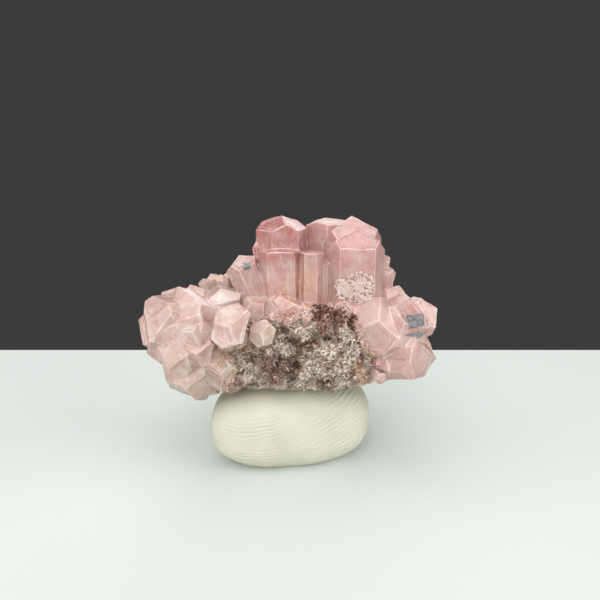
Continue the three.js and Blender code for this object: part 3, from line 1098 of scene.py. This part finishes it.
RIDGE_BREAKS = 1.3 * MM  # width of the stretches where they fade
THUMB_SLANT = (-0.25, 0.25)  # where the ridges begin to rise and are steepest, in shares of the width


def signed_power(value):
    """The power that squares a circle's corners, with the sign kept."""
    return math.copysign(abs(value) ** (2 / TACK_SQUARENESS), value)


def tack_point(ring, sector):
    """A place on the pad's smooth outline, flat underneath."""
    rise = math.pi * (ring / TACK_RINGS - 0.5)
    around = 2 * math.pi * sector / TACK_SECTORS
    across = signed_power(math.cos(rise))
    offset = Vector((across * signed_power(math.cos(around)), across * signed_power(math.sin(around)), 0))
    offset.z = signed_power(math.sin(rise))
    offset *= TACK_HALF
    offset.y += TACK_SKEW * offset.x
    offset.z = max(offset.z, -TACK_CENTRE.z)
    return TACK_CENTRE + offset


def ridge_phase(across, climb):
    """Which ridge of the thumb's print a place is on, counted in turns."""
    begin, steepest = THUMB_SLANT
    progress = clamp((across - begin) / (steepest - begin), 0, 1)
    slope = RIDGE_RISE * progress * progress * (3 - 2 * progress)
    climbed = 0.5 * slope * (across - begin) * TACK_WIDTH
    return (climb - climbed) / (RIDGE_PITCH * math.sqrt(1 + slope * slope))


def tack_relief(place, normal):
    """How far the putty stands out from its smooth outline."""
    height = clamp((place.z - TACK_CENTRE.z) / TACK_HALF.z, -1, 1)
    across = (place.x - TACK_CENTRE.x) / TACK_WIDTH
    wander = sum(turns * noise.noise(place / width) for turns, width in RIDGE_WANDER)
    ridge = math.cos(2 * math.pi * (ridge_phase(across, TACK_HALF.z * math.asin(height)) + wander))
    broken = clamp(0.8 + 1.2 * noise.noise(place / RIDGE_BREAKS), 0.15, 1)
    smoothed = clamp(1.6 - 1.5 * height + 1.2 * across, 0.1, 1)  # less at the top, and at the top left least
    depth, width = TACK_DENTS
    dent = depth * noise.noise(place / width) - TACK_INSET
    foot = clamp(place.z / TACK_FOOT, 0, 1)
    return foot * (RIDGE_HEIGHT * broken * smoothed * ridge + dent)


def tack_piece(material):
    """The pad: a squeezed lump of putty with a flat base and the ridges of a thumb all round it."""
    points = [tack_point(ring, sector) for ring in range(TACK_RINGS + 1) for sector in range(TACK_SECTORS)]
    faces = []
    for ring in range(TACK_RINGS):
        faces += ring_faces(ring * TACK_SECTORS, (ring + 1) * TACK_SECTORS, TACK_SECTORS)
    mesh = new_mesh("tack", points, faces)
    body = bmesh.new()
    body.from_mesh(mesh)
    # The bottom ring and the top ring are a point each.
    bmesh.ops.remove_doubles(body, verts=body.verts, dist=0.002 * MM)
    body.to_mesh(mesh)
    body.free()
    pushed(mesh, tack_relief)
    mesh.shade_smooth()
    return link_piece("tack", mesh, material)


def tack_material():
    """Pale grey-green putty with a faint grain."""
    shader = Shader("mineral tack")
    tone = shader.ramp(shader.noise(4 * MM, 3), (0.35, (0.50, 0.49, 0.39)), (0.65, (0.56, 0.55, 0.44)))
    shader.set(Base_Color=tone, Roughness=0.62, Specular_IOR_Level=0.35)
    shader.bump(shader.noise(0.12 * MM, 3), 0.02 * MM, 0.4)
    return shader.material


# ---- Stage ----

FLOOR_NEAR, FLOOR_FAR = -110 * MM, 31.5 * MM
FLOOR_SIDE = 160 * MM
STUDIO_GREY = (0.045, 0.045, 0.046)  # what is behind the floor
AIM = Vector((0, 0, 12 * MM))  # what the lamps point at


def floor_material():
    shader = Shader("floor")
    shader.set(Base_Color=(0.56, 0.60, 0.57), Roughness=0.9)
    return shader.material


def add_floor():
    left, right = -FLOOR_SIDE, FLOOR_SIDE
    corners = [(left, FLOOR_NEAR, 0), (right, FLOOR_NEAR, 0), (right, FLOOR_FAR, 0), (left, FLOOR_FAR, 0)]
    floor = link_piece("floor", new_mesh("floor", corners, [(0, 1, 2, 3)]), floor_material())


# Soft square lamps round the object: name, place and width in millimetres, watts.
LIGHTS = (
    ("above", (-40, -30, 200), 300, 0.55),
    ("front", (-40, -230, 110), 220, 0.50),
    ("left", (-190, -60, 70), 140, 0.12),
    ("right", (190, -60, 90), 160, 0.30),
    ("behind", (30, 160, 90), 120, 0.08),
)


def add_lamp(name, place, size, power):
    data = bpy.data.lights.new(name, "AREA")
    data.size = size
    data.energy = power
    lamp = add_object(name, data)
    lamp.location = place
    lamp.rotation_euler = (AIM - place).to_track_quat("-Z", "Y").to_euler()


def add_light():
    world = bpy.data.worlds.new("studio")
    world.use_nodes = True
    world.node_tree.nodes["Background"].inputs["Color"].default_value = (*STUDIO_GREY, 1)
    bpy.context.scene.world = world
    for name, place, size, power in LIGHTS:
        add_lamp(name, Vector(place) * MM, size * MM, power)


# ---- The whole ----

def add_big_crystals(calcite):
    """The intergrown crystals with what is inside them, and the ones that stand alone."""
    crystals = crystal_piece("calcite_crystals", "crystals", calcite, edge_material("pink edge with painted highlight"))
    finish(crystals, "calcite", "calcite_crystals")
    finish(crystal_core(crystals, "milky_core", core_material()), "calcite")
    add_flaws(crystals)
    for node, slot, base, tints in LONE_CRYSTALS:
        faces = calcite_material(f"{node} face", base, tints)
        rims = edge_material(f"{node} edge", base, tints)
        finish(crystal_piece(node, f"{node}_look", faces, rims), slot, node)
    add_mirrors(crystals)
    return crystals


def main():
    bpy.context.scene.view_settings.view_transform = "Standard"
    add_camera()
    calcite = calcite_material("pink calcite")
    crystals = add_big_crystals(calcite)
    rock = rock_piece(rock_material())
    finish(rock, "matrix", "matrix")
    add_druse(rock, crystals)
    add_contact(crystals, rock, druse_material("root druse", PEACH, CREAM, MILK, tints=ROOT_TINTS), calcite)
    red = druse_material("dark red crust", UMBER, DARK_RED, BROWN)
    add_crust("red_crust", crystals, RED_PLACES, splinter(), 15, red, RED_CRUST)
    frost = druse_material("frosted calcite", PALE_PINK, HAZE, HAZE, roughness=0.35, clear=0.35)
    add_crust("frosted_patch", crystals, FROSTED_PLACES, knob(), 12, frost, FROST)
    finish(tack_piece(tack_material()), "tack", "mineral_tack")
    add_floor()
    add_light()


main()
